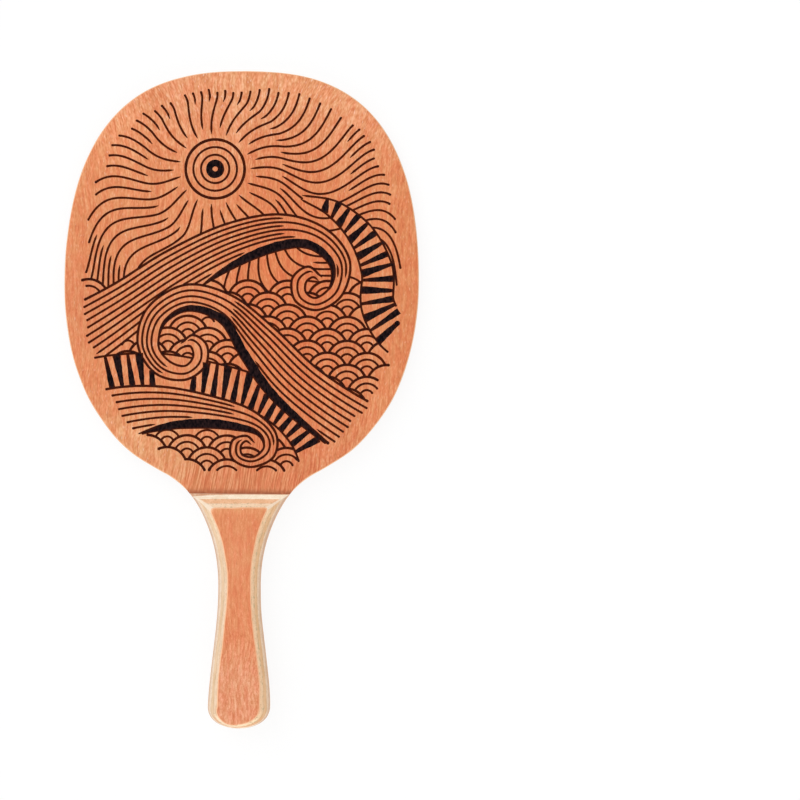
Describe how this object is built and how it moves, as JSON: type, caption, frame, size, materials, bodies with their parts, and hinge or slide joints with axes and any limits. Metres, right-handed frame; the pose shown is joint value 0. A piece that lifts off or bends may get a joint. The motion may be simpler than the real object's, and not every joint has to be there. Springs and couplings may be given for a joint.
{
  "type": "frescobol racket",
  "caption": "Plywood beach-bat racket: round-shouldered oval blade with a line print, short waisted handle with bevelled laminated scales on both sides.",
  "frame": {"origin": "under the middle of the racket's box, in the plane of the back scale's flat face", "axes": "+X across the blade to the right, +Y along the racket from the butt end to the tip, +Z out of the printed front face"},
  "size_m": [0.2046, 0.38, 0.021],
  "materials": {
    "face_veneer": "satin, red-brown veneer with fine dark pores along the racket",
    "pale_ply": "sanded edge of a cream cross-grained ply",
    "core_ply": "sanded edge of a tan core ply",
    "print_ink": "thin matte black line print on the front veneer"
  },
  "bodies": {
    "root": {"blade_front_veneer": "face_veneer", "blade_front_crossband": "pale_ply", "blade_core": "core_ply", "blade_back_crossband": "pale_ply", "blade_back_veneer": "face_veneer", "front_scale_inner_veneer": "face_veneer", "front_scale_inner_crossband": "pale_ply", "front_scale_core": "core_ply", "front_scale_outer_crossband": "pale_ply", "front_scale_face_veneer": "face_veneer", "back_scale_inner_veneer": "face_veneer", "back_scale_inner_crossband": "pale_ply", "back_scale_core": "core_ply", "back_scale_outer_crossband": "pale_ply", "back_scale_face_veneer": "face_veneer"}
  },
  "joints": []
}
